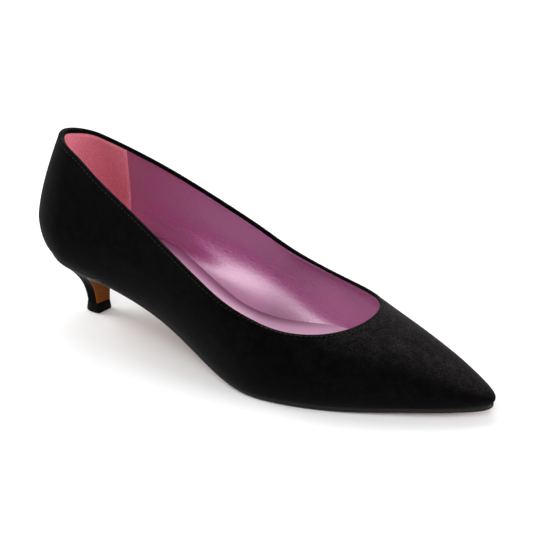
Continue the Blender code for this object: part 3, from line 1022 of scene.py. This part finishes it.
@dataclass
class VelvetUpper:
    """The outside of the upper: one skin of velvet, folded in at the collar and lasted under at the sole.

    Attributes:
        cloth: Thickness of the velvet.
        fold_radius: Half the thickness of the fold at the collar.
        back_padding: How much thicker the fold is at the back.
        padded_to: How far ahead of the back the padding ends.
        hem: How deep the velvet is turned in, and hem_ease how softly it ends.
        band_lift: How far the folded edge stands out, and band_ease how softly it ends.
        stitch_line: Distance of the stitches from where the fold starts.
        groove_depth, groove_width: The groove that the stitches pull in.
        lasted_in, lasted_down: How far the lower edge turns in and down, towards the sole.
        fold_steps: Steps round the fold.
        steps, rows, crowd: Steps along the last and up its wall.
    """

    cloth: float = 1.0
    fold_radius: float = 0.9
    back_padding: float = 0.75
    padded_to: float = 12
    hem: float = 1.5
    hem_ease: float = 0.3
    band_lift: float = 0.08
    band_ease: float = 0.5
    stitch_line: float = 1.2
    groove_depth: float = 0.12
    groove_width: float = 0.4
    lasted_in: float = 0.35
    lasted_down: float = 0.28
    fold_steps: int = 8
    steps: tuple[int, ...] = (30, 84, 44, 28, 32)
    rows: tuple[int, int] = (11, 42)
    crowd: float = 1.5

    def build(self) -> bpy.types.Object:
        """Builds the velvet.

        Returns:
            The finished piece.
        """
        station = LAST_FORM.stations(*self.steps, self.fold_radius)[:, None]
        rise = LAST_FORM.rises(*self.rows, self.crowd)[None, :]
        sheet = Sheet.on_last(station, rise, self.fold_radius)
        collar, feather = sheet.borders()
        from_fold = sheet.distance_to(between(sheet.points[collar], EDGE_CUTS))

        # The folded edge is fuller than the cloth below the stitches, which pull it into a shallow groove
        band_start = self.stitch_line - self.band_ease
        band = self.band_lift * (1 - smooth_step(band_start, self.stitch_line, from_fold))
        groove = self.groove_depth * np.exp(-(((from_fold - self.stitch_line) / self.groove_width) ** 2))
        band[collar] = 0
        outer = sheet.inside(groove - band)
        hem = 1 - smooth_step(self.hem - self.hem_ease, self.hem + self.hem_ease, from_fold)
        behind = sheet.points[:, 0] - HEEL_BACK[Guide.COLLAR]
        thick = self.fold_radius + self.back_padding * (1 - smooth_step(0, self.padded_to, behind))
        inner = sheet.inside(self.cloth + (2 * thick - self.cloth) * hem)

        fold = self.fold_rows(outer[collar], sheet.normals[collar], thick[collar])
        lasted = outer[feather] - sheet.normals[feather] * self.lasted_in
        lasted[:, 2] -= self.lasted_down
        points, faces = sheet.shell(outer, inner, {0: fold, 1: [lasted]})
        piece = make_piece("velvet_upper", points, faces, [BLACK_VELVET.material()])
        return settle(piece, "velvet", "upper")

    def fold_rows(self, edge: Array, normals: Array, thick: Array) -> list[Array]:
        """Rows of points round the folded edge.

        Args:
            edge: Points of the outer skin's free edge in order.
            normals: Its outward normals.
            thick: Half the thickness of the fold at each point.

        Returns:
            Rows from the outside over the fold, without the edge itself.
        """
        onward = unit(np.roll(edge, -1, axis=0) - np.roll(edge, 1, axis=0))
        away = unit(np.cross(onward, normals))
        across_fold = thick[:, None] * normals
        angles = np.linspace(0, math.pi, self.fold_steps + 1)[1:-1]
        over_fold = self.fold_radius * away
        return [edge + (math.cos(a) - 1) * across_fold + math.sin(a) * over_fold for a in angles]


@dataclass(frozen=True)
class Crease:
    """A soft trough or ridge along a line on one side wall.

    Attributes:
        side: The wall that it lies on.
        line: X and Z of its points.
        width: How far from the line it dies away.
        height: How far it stands into the shoe, or how deep it lies where negative.
        fade: Share of its length over which it dies away at each end.
    """

    side: Side
    line: tuple[tuple[float, float], ...]
    width: float
    height: float
    fade: float = 0.35

    def relief(self, points: Array) -> Array:
        """The crease's relief on a wall.

        Args:
            points: Points of the wall.

        Returns:
            How far each point moves into the shoe.
        """
        flat = points[:, [0, 2]]
        line = np.array(self.line, float)
        lengths = np.linalg.norm(np.diff(line, axis=0), axis=1)
        passed = np.concatenate([[0], np.cumsum(lengths)]) / lengths.sum()
        nearest = np.full(len(points), np.inf)
        place = np.zeros(len(points))
        for i, (start, end) in enumerate(zip(line, line[1:])):
            run = end - start
            share = np.clip((flat - start) @ run / (run @ run), 0, 1)
            distance = np.linalg.norm(flat - start - share[:, None] * run, axis=1)
            place = np.where(distance < nearest, passed[i] + (passed[i + 1] - passed[i]) * share, place)
            nearest = np.minimum(nearest, distance)
        fade = smooth_step(0, self.fade, place) * smooth_step(0, self.fade, 1 - place)
        on_side = (points[:, 1] - read(LAST, "axis", points[:, 0])) * self.side.value > 0
        return np.where(on_side, self.height * fade * np.exp(-((nearest / self.width) ** 2)), 0)


@dataclass
class PinkLining:
    """The leather that lines the upper from just under the folded velvet to the sock.

    Attributes:
        outer_depth, inner_depth: Depths of its two sides below the outside of the upper.
        drop: How far below the collar it ends.
        pared, pared_by: Width of its thinned upper edge, and by how much it is thinned.
        steps, rows: Steps along the last and up its wall.
        creases: Folds in the medial wall, listed one by one.
    """

    outer_depth: float = 1.1
    inner_depth: float = 1.95
    drop: float = 2.3
    pared: float = 0.9
    pared_by: float = 0.3
    steps: tuple[int, ...] = (26, 84, 40, 26, 26)
    rows: tuple[int, int] = (12, 36)
    creases: tuple[Crease, ...] = (
        Crease(Side.MEDIAL, ((32, 58), (48, 53), (67, 46), (84, 38), (104, 28)), 3.4, 0.7),
        Crease(Side.MEDIAL, ((34, 54.5), (50, 49.5), (66, 42.5), (80, 35.5)), 1.3, -0.45),
        Crease(Side.MEDIAL, ((38, 49), (52, 43.5), (64, 38)), 1.3, 0.3),
    )

    def build(self) -> bpy.types.Object:
        """Builds the lining.

        Returns:
            The finished piece.
        """
        station = LAST_FORM.stations(*self.steps, self.drop)[:, None]
        rise = LAST_FORM.rises(*self.rows)[None, :]
        sheet = Sheet.on_last(station, rise, self.drop)
        relief = sum(crease.relief(sheet.points) for crease in self.creases)
        collar = sheet.borders()[0]
        full = smooth_step(0, self.pared, sheet.distance_to(between(sheet.points[collar], EDGE_CUTS)))
        outer = sheet.inside(self.outer_depth)
        inner = sheet.inside(self.inner_depth + relief - self.pared_by * (1 - full))
        points, faces = sheet.shell(outer, inner, {})
        piece = make_piece("pink_lining", points, faces, [PINK_LINING.material()])
        return settle(piece, "sock_leather")


@dataclass
class HeelGrip:
    """A patch of suede inside the back, with its edges pared thin.

    Attributes:
        outer_depth, inner_depth: Depths of its two sides below the outside of the upper.
        drop: How far below the collar it ends.
        bottom_edge, top_edge: Stations of its front edges at the bottom and at the top.
        edge_power: How late the front edges lean forwards on their way up.
        pared, pared_by: Width of the thinned edges, and by how much they are thinned.
        columns, rows: Steps along the last and up its wall.
    """

    outer_depth: float = 1.9
    inner_depth: float = 2.5
    drop: float = 2.1
    bottom_edge: float = 36.6
    top_edge: float = 42.6
    edge_power: float = 1.6
    pared: float = 1.2
    pared_by: float = 0.5
    columns: int = 36
    rows: tuple[int, int] = (8, 30)

    def build(self) -> bpy.types.Object:
        """Builds the grip.

        Returns:
            The finished piece.
        """
        rise = LAST_FORM.rises(*self.rows)[None, :]
        edge = self.bottom_edge + (self.top_edge - self.bottom_edge) * rise**self.edge_power
        station = np.linspace(0, 1, self.columns + 1)[:, None] * edge
        sheet = Sheet.on_last(station, rise, self.drop)
        border = np.concatenate(sheet.borders())
        full = smooth_step(0, self.pared, sheet.distance_to(sheet.points[border]))
        outer = sheet.inside(self.outer_depth)
        inner = sheet.inside(self.inner_depth - self.pared_by * (1 - full))
        points, faces = sheet.shell(outer, inner, {})
        piece = make_piece("heel_grip", points, faces, [CORAL_SUEDE.material()])
        return settle(piece, "sock_leather")


@dataclass
class Sock:
    """The padded leather that covers the insole, turned up a little where it meets the lining.

    Attributes:
        inset: How far its outline lies inside the feather edge.
        bottom, top: Heights of its two sides above the feather edge.
        edge_turn, turn_power: How high its edges turn up, and how late on the way out.
        painted_shade_edges: X and width of the painted shade along the edges.
        painted_shade_to: X between which the painted shade fades out.
        steps, across_steps: Steps along the last and across it.
    """

    inset: float = 1.7
    bottom: float = 0.1
    top: float = 2.0
    edge_turn: float = 0.7
    turn_power: int = 5
    painted_shade_edges: tuple[tuple[float, float], ...] = ((60, 10.0), (120, 4.5))
    painted_shade_to: tuple[float, float] = (120, 185)
    steps: tuple[int, ...] = (24, 70, 24, 20, 24)
    across_steps: int = 28

    def build(self) -> bpy.types.Object:
        """Builds the sock.

        Returns:
            The finished piece.
        """
        station = LAST_FORM.stations(*self.steps)
        lateral, medial = LAST_FORM.feather_edges(station, -self.inset)
        lower = across(lateral, medial, self.across_steps) + (0, 0, self.bottom)
        upper = lower + (0, 0, self.top - self.bottom)
        share = np.abs(np.linspace(-1, 1, self.across_steps + 1))
        upper[:, :, 2] += self.edge_turn * share**self.turn_power
        points, faces = loft(np.concatenate([upper, lower[:, ::-1]], 1))
        piece = make_piece("sock", points, faces, [PINK_SOCK.material()])

        # Painted shade: the sock is darker where its edges meet the lining, fading out towards the toe
        places = np.array([vert.co for vert in piece.data.vertices]) / MM + ORIGIN
        rim = np.concatenate([lateral, medial])
        nearest = np.array([np.linalg.norm(rim[:, :2] - place[:2], axis=1).min() for place in places])
        width = np.interp(places[:, 0], *zip(*self.painted_shade_edges))
        shade_share = np.exp(-((nearest / width) ** 2)) * (1 - smooth_step(*self.painted_shade_to, places[:, 0]))
        shares = piece.data.attributes.new(PAINTED_SHADE_SHARE, "FLOAT", "POINT")
        shares.data.foreach_set("value", shade_share.astype(np.float32))
        return settle(piece, "sock_leather", "insole")


@dataclass
class HeelForm:
    """Edges of the heel, which the heel, its top piece and the sole's flap share.

    Attributes:
        seat_inset: How far the seat lies inside the feather edge.
        gap: Room between the heel and what it meets.
        shift: How far in Y the heel leans on its way down.
        bottom: Height of its lower end.
        twist: Slope by which its front turns to the lateral side.
        twisted_by: Share of the way down at which it is fully turned.
        steps: Steps along the last.
    """

    seat_inset: float = 0.6
    gap: float = 0.3
    shift: float = -0.9
    bottom: float = 6.4
    twist: float = 0.24
    twisted_by: float = 0.45
    steps: tuple[int, ...] = (40, 100, 4, 4, 4)

    def seat(self) -> list[Array]:
        """Edges of the heel seat.

        Returns:
            The lateral and the medial edge, from the breast to the back.
        """
        front = HEEL["breast"][0]
        station = LAST_FORM.stations(*self.steps)
        station = np.concatenate([station[station < front - STATION_GAP], station[-1:]])
        edges = []
        for side, edge in zip(Side, LAST_FORM.feather_edges(station, -self.seat_inset)):
            corner = LAST_FORM.feather(side, np.array([front])) - (0, side.value * self.seat_inset, 0)
            edges.append(np.concatenate([corner, edge[-2::-1]]) - (0, 0, self.gap))
        return edges

    def ring(self, seat_edge: Array, down: float) -> Array:
        """One edge of the heel at some height.

        Args:
            seat_edge: The edge at the seat.
            down: Share of the way down from the seat.

        Returns:
            The edge's points.
        """
        back, breast, half_width = (spline(HEEL["down"], HEEL[name], down) for name in HEEL_COLUMNS[1:])
        x, y = self.plan(seat_edge, back, breast, half_width)
        z = (1 - down) * seat_edge[:, 2] + down * self.bottom
        return np.column_stack([self.turned(x, y, down), y + self.shift * down, z])

    def plan(self, seat_edge: Array, back: float, front: float, half_width: float) -> tuple[Array, Array]:
        """A seat edge drawn in to a section of the heel.

        Args:
            seat_edge: The edge at the seat.
            back, front: X of the section's two ends.
            half_width: Half its width.

        Returns:
            X and Y of the edge's points.
        """
        seat_back, seat_front, seat_half = (HEEL[name][0] for name in HEEL_COLUMNS[1:])
        behind = (seat_front - seat_edge[:, 0]) / (seat_front - seat_back)
        return front - (front - back) * behind, seat_edge[:, 1] * half_width / seat_half

    def turned(self, x: Array, y: Array, down: float) -> Array:
        """X of a section whose front faces a little to the lateral side."""
        return x + self.twist * y * float(smooth_step(0, self.twisted_by, np.array(down)))

    def loop(self, edges: Sequence[Array]) -> Array:
        """A lateral and a medial edge that share their last point, as one loop."""
        return np.concatenate([edges[0], edges[1][-2::-1]])


@dataclass
class LeatherSole:
    """The sole from the toe to the waist, carried on as a thin flap down the front of the heel.

    Attributes:
        heel: The heel that the flap lies on.
        thick, flap_thick: Thickness of the sole and of the flap.
        flap_taper: Share of the flap over which it thins.
        flap_from: Share of the way down the heel at which the flap starts.
        outset: How far the sole stands out past the feather edge.
        waist_inset, waist_bevel: How far it draws in at the waist, and how much more its edge slopes there.
        waist: Stations between which the waist widens to the forepart.
        rear: Station at which the flap turns down.
        lift: How far the sole's top is raised to close the gap to the upper.
        across_steps, flap_rows, steps: Steps across the sole, down the flap and along the last.
        inked_rows: Rows at the top of the flap whose sides still have the black edge.
        turn_smoothing: Rounds of smoothing where the sole turns into the flap.
        edge_profile: How far in from the edge, and at what share of the thickness, the rounded edge passes.
    """

    heel: HeelForm
    thick: float = 3.0
    flap_thick: float = 1.4
    flap_taper: float = 0.3
    flap_from: float = 0.06
    outset: float = 0.4
    waist_inset: float = 0.2
    waist_bevel: float = 0.3
    waist: tuple[float, float] = (104, 142)
    rear: float = 50
    lift: float = 0.25
    across_steps: int = 18
    flap_rows: int = 36
    steps: tuple[int, ...] = (4, 84, 26, 26, 30)
    inked_rows: int = 5
    turn_smoothing: int = 6
    edge_profile: tuple[tuple[float, float], ...] = (
        (0.30, 0.00), (0.08, 0.04), (0.0, 0.12), (0.0, 0.50), (0.20, 0.68), (0.70, 0.86), (1.50, 1.00),
    )

    def build(self) -> bpy.types.Object:
        """Builds the sole.

        Returns:
            The finished piece.
        """
        depths = self.depths(np.mean(self.edges(0), axis=0))
        rounded = [
            [edge + depths * share for edge in self.edges(inset)] for inset, share in self.edge_profile
        ]
        for pair in rounded:
            for edge in pair:
                edge[:, 2] = np.maximum(edge[:, 2], 0)
        top = across(*rounded[0], self.across_steps)
        face = across(*rounded[-1], self.across_steps)
        sides = len(self.edge_profile) - 2
        medial = np.stack([pair[1] for pair in rounded[1:-1]], 1)
        lateral = np.stack([pair[0] for pair in rounded[-2:0:-1]], 1)
        loops = np.concatenate([top, medial, face[:, ::-1], lateral], 1)
        points, faces = loft(loops, capped=True)
        columns = loops.shape[1]
        face_start = self.across_steps + sides + 1
        face_end = face_start + self.across_steps
        flap_start = len(loops) - self.flap_rows + self.inked_rows
        slots = [
            int(i // columns >= flap_start or face_start <= i % columns < face_end)
            for i in range((len(loops) - 1) * columns)
        ]
        slots += [0] * (len(faces) - len(slots))
        piece = make_piece("leather_sole", points, faces, [EDGE_INK.material(), TAN_SOLE.material()], slots)
        return settle(piece, "sole_leather", "outsole")

    def edges(self, inset: float) -> list[Array]:
        """Lateral and medial edges of the sole's top from the toe to the waist and down the flap.

        Args:
            inset: Distance inwards from the sole's full outline.

        Returns:
            The two edges, matched row by row.
        """
        station = LAST_FORM.stations(*self.steps)
        station = np.concatenate([[0.0, self.rear], station[station > self.rear + STATION_GAP]])
        waist = 1 - smooth_step(*self.waist, station)
        sole = LAST_FORM.feather_edges(
            station, self.outset - waist * self.waist_inset - inset * (1 + waist * self.waist_bevel),
        )
        downs = np.linspace(self.flap_from, 1, self.flap_rows + 1)
        ahead = (self.heel.gap, 0, 0)
        flap = [
            np.array([self.heel.ring(edge, down)[0] for down in downs]) + ahead for edge in self.heel.seat()
        ]
        edges = []
        for side, forepart, turned in zip(Side, sole, flap):
            turned = turned - (0, side.value * inset, 0)
            edges.append(np.concatenate([forepart[:0:-1] - (0, 0, self.heel.gap - self.lift), turned]))
        return edges

    def depths(self, middle: Array) -> Array:
        """Vectors from the top of the sole to its face, row by row.

        Args:
            middle: Middle line of the sole's top.

        Returns:
            One vector for each row, eased over the turn into the flap.
        """
        sole_rows = len(middle) - self.flap_rows - 1
        tangent = np.gradient(middle[:, [0, 2]], axis=0)[sole_rows:]
        normal = unit(np.stack([-tangent[:, 1], np.zeros(len(tangent)), tangent[:, 0]], 1))
        normal[-1] = (1, 0, 0)
        thick = np.interp(np.linspace(0, 1, len(normal)), (0, self.flap_taper), (self.thick, self.flap_thick))
        flat = np.tile((0, 0, -self.thick - self.lift), (sole_rows, 1))
        vectors = np.concatenate([flat, normal * thick[:, None]])
        for _ in range(self.turn_smoothing):
            vectors[1:-1] = (vectors[:-2] + 2 * vectors[1:-1] + vectors[2:]) / 4
        return vectors


@dataclass
class CoveredHeel:
    """The slim heel, covered in leather up to its seat.

    Attributes:
        heel: Its edges.
        rings: Steps from its seat to its lower end.
    """

    heel: HeelForm
    rings: int = 48

    def build(self) -> bpy.types.Object:
        """Builds the heel.

        Returns:
            The finished piece.
        """
        seat = self.heel.seat()
        downs = np.linspace(0, 1, self.rings + 1)
        loops = [self.heel.loop([self.heel.ring(edge, down) for edge in seat]) for down in downs]
        loops.insert(0, loops[0] + (0, 0, self.heel.gap))
        loops.append(loops[-1] - (0, 0, self.heel.gap))
        points, faces = loft(np.array(loops), capped=True)
        piece = make_piece("covered_heel", points, faces, [HEEL_LEATHER.material()])
        return settle(piece, "heel_cover", "heel")


@dataclass
class TopPiece:
    """The small flared tread under the heel, with its rims rounded.

    Attributes:
        heel: Edges of the heel above it.
        corner: Radius of its two front corners.
    """

    heel: HeelForm
    corner: float = 1.5

    def build(self) -> bpy.types.Object:
        """Builds the top piece.

        Returns:
            The finished piece.
        """
        seat = self.heel.loop(self.heel.seat())
        loops = []
        for height, back, front, half_width in TOP_PIECE_ROWS:
            x, y = self.heel.plan(seat, back, front, half_width)
            turn = RIGHT_ANGLE * np.clip((front - x) / self.corner, 0, 1)
            x = np.where(front - x < self.corner, front - self.corner * (1 - np.cos(turn)), x)
            y = y - np.sign(y) * self.corner * (1 - np.sin(turn))
            x = self.heel.turned(x, y, 1.0)
            loops.append(np.column_stack([x, y + self.heel.shift, np.full(len(x), height)]))
        points, faces = loft(np.array(loops), capped=True)
        piece = make_piece("heel_top_piece", points, faces, [TOP_PIECE_RUBBER.material()])
        return settle(piece, "top_piece_rubber", "top_piece")


@dataclass
class CollarStitches:
    """A row of stitches round the collar, sunk into the velvet.

    Attributes:
        below_edge: How far below the collar they run.
        sunk: How deep the middle of the thread lies.
        pitch, length, width: Distance from stitch to stitch, and size of each.
        steps: Steps along the last.
        strip: Rises of a narrow strip whose upper edge is their line.
        thread_sides, thread_rings: Faces round a stitch and along it.
    """

    below_edge: float = 2.1
    sunk: float = 0.04
    pitch: float = 2.5
    length: float = 1.9
    width: float = 0.4
    steps: tuple[int, ...] = (30, 84, 44, 4, 4)
    strip: tuple[float, float] = (0.9, 1.0)
    thread_sides: int = 8
    thread_rings: int = 6

    def build(self) -> bpy.types.Object:
        """Builds the stitches.

        Returns:
            The finished piece.
        """
        station = LAST_FORM.stations(*self.steps, self.below_edge)[:, None]
        sheet = Sheet.on_last(station, np.array([self.strip]), self.below_edge)
        collar = sheet.borders()[0]
        path = sheet.inside(self.sunk)[collar]
        data = bpy.data.meshes.new("collar_stitches")
        steps = [(i, (i + 1) % len(path)) for i in range(len(path))]
        data.from_pydata(((path - ORIGIN) * MM).tolist(), steps, [])
        piece = bpy.data.objects.new("collar_stitches", data)
        bpy.context.scene.collection.objects.link(piece)

        tree = self.tree(DARK_THREAD.material())
        modifier = piece.modifiers.new("stitches", "NODES")
        modifier.node_group = tree
        sizes = {"Pitch": self.pitch, "Length": self.length, "Width": self.width}
        for item in tree.interface.items_tree:
            if item.name in sizes:
                modifier[item.identifier] = sizes[item.name] * MM
        made = bpy.data.meshes.new_from_object(piece.evaluated_get(bpy.context.evaluated_depsgraph_get()))
        piece.modifiers.clear()
        piece.data = made
        made.shade_smooth()
        return settle(piece, "velvet")

    def tree(self, material: bpy.types.Material) -> bpy.types.NodeTree:
        """The node tree that sets stitches along a path.

        Args:
            material: Material of the thread.

        Returns:
            A geometry tree with the inputs Pitch, Length and Width.
        """
        tree = bpy.data.node_groups.new("stitches_along_path", "GeometryNodeTree")
        tree.interface.new_socket("Geometry", in_out="INPUT", socket_type="NodeSocketGeometry")
        for name in ("Pitch", "Length", "Width"):
            tree.interface.new_socket(name, in_out="INPUT", socket_type="NodeSocketFloat")
        tree.interface.new_socket("Geometry", in_out="OUTPUT", socket_type="NodeSocketGeometry")
        start = add_node(tree, "NodeGroupInput").outputs
        path = add_node(tree, "GeometryNodeMeshToCurve", {"Mesh": start["Geometry"]})
        marks = add_node(tree, "GeometryNodeCurveToPoints", {
            "Curve": path.outputs["Curve"], "Length": start["Pitch"],
        }, mode="LENGTH")
        turn = add_node(tree, "FunctionNodeAlignRotationToVector", {
            "Vector": marks.outputs["Tangent"],
        }, axis="X")
        # A round bead 1 across, which the sizes stretch to a stitch
        thread = add_node(tree, "GeometryNodeMeshUVSphere", {
            "Segments": self.thread_sides, "Rings": self.thread_rings, "Radius": 0.5,
        })
        size = add_node(tree, "ShaderNodeCombineXYZ", {
            "X": start["Length"], "Y": start["Width"], "Z": start["Width"],
        })
        stitches = add_node(tree, "GeometryNodeInstanceOnPoints", {
            "Points": marks.outputs["Points"], "Instance": thread.outputs["Mesh"],
            "Rotation": turn.outputs["Rotation"], "Scale": size.outputs["Vector"],
        })
        real = add_node(tree, "GeometryNodeRealizeInstances", {"Geometry": stitches.outputs["Instances"]})
        dressed = add_node(tree, "GeometryNodeSetMaterial", {
            "Geometry": real.outputs["Geometry"], "Material": material,
        })
        add_node(tree, "NodeGroupOutput", {"Geometry": dressed.outputs["Geometry"]})
        return tree


@dataclass(frozen=True)
class SoftBox:
    """A soft area light, placed in millimetres and turned to the shoe.

    Attributes:
        name: Name of the light.
        place: Where it hangs, in the frame.
        size: Width and depth.
        power: Watts.
    """

    name: str
    place: tuple[float, float, float]
    size: tuple[float, float]
    power: float

    def build(self, target: Vector) -> None:
        """Hangs the light and turns it to the shoe.

        Args:
            target: The point that it faces, in the frame and in metres.
        """
        data = bpy.data.lights.new(self.name, "AREA")
        data.shape = "RECTANGLE"
        data.size, data.size_y = (side * MM for side in self.size)
        data.energy = self.power
        light = bpy.data.objects.new(self.name, data)
        light.location = Vector(self.place) * MM
        light.rotation_euler = (target - light.location).to_track_quat("-Z", "Y").to_euler()
        bpy.context.scene.collection.objects.link(light)


@dataclass
class Studio:
    """White paper, soft light from all round and the camera.

    Attributes:
        paper: Side of the square of paper.
        target: The point that the camera and the lights face, in the frame.
        azimuth, elevation: Degrees of the camera's place round the shoe and above it.
        distance: Distance of the camera from the target.
        lens, sensor: Focal length and sensor width.
        nearest: Distance from which the camera sees.
        surround: Strength of the even white light all round.
        lights: The soft boxes.
    """

    paper: float = 6000
    target: tuple[float, float, float] = (5.35, -0.7, 53.9)
    azimuth: float = 29.04
    elevation: float = 28.92
    distance: float = 710.0
    lens: float = 94.8
    sensor: float = 36
    nearest: float = 10
    surround: float = 0.52
    lights: tuple[SoftBox, ...] = (
        SoftBox("front_box", (200, -750, 750), (800, 750), 5.0),
        SoftBox("toe_box", (1000, 120, 280), (500, 300), 9.0),
        SoftBox("heel_box", (-1000, -50, 620), (600, 600), 9.0),
        SoftBox("back_box", (-350, 500, 900), (1000, 600), 4.0),
    )

    def build(self) -> None:
        """Lays the paper, hangs the lights and sets the camera."""
        half = self.paper / 2
        corners = np.array([(-half, -half, 0), (half, -half, 0), (half, half, 0), (-half, half, 0)]) + ORIGIN
        make_piece("paper_floor", corners, [(0, 1, 2, 3)], [PAPER.material()])

        scene = bpy.context.scene
        target = Vector(self.target) * MM
        for light in self.lights:
            light.build(target)
        world = bpy.data.worlds.new("studio")
        world.use_nodes = True
        background = world.node_tree.nodes["Background"]
        background.inputs["Color"].default_value = linear("#FFFFFF")
        background.inputs["Strength"].default_value = self.surround
        scene.world = world
        scene.view_settings.view_transform = "Standard"

        data = bpy.data.cameras.new("camera")
        data.lens = self.lens
        data.sensor_width = self.sensor
        data.clip_start = self.nearest * MM
        camera = bpy.data.objects.new("camera", data)
        turn, tilt = math.radians(self.azimuth), math.radians(self.elevation)
        back = Vector((math.sin(turn) * math.cos(tilt), -math.cos(turn) * math.cos(tilt), math.sin(tilt)))
        camera.location = target + back * self.distance * MM
        camera.rotation_euler = back.to_track_quat("Z", "Y").to_euler()
        scene.collection.objects.link(camera)
        scene.camera = camera


def main() -> None:
    """Builds the shoe piece by piece and the studio round it."""
    logging.basicConfig(level=logging.INFO, format="%(name)s: %(message)s")
    heel = HeelForm()
    pieces = (
        VelvetUpper(), PinkLining(), HeelGrip(), Sock(), LeatherSole(heel), CoveredHeel(heel),
        TopPiece(heel), CollarStitches(),
    )
    for piece in pieces:
        piece.build()
    Studio().build()


if __name__ == "__main__":
    main()
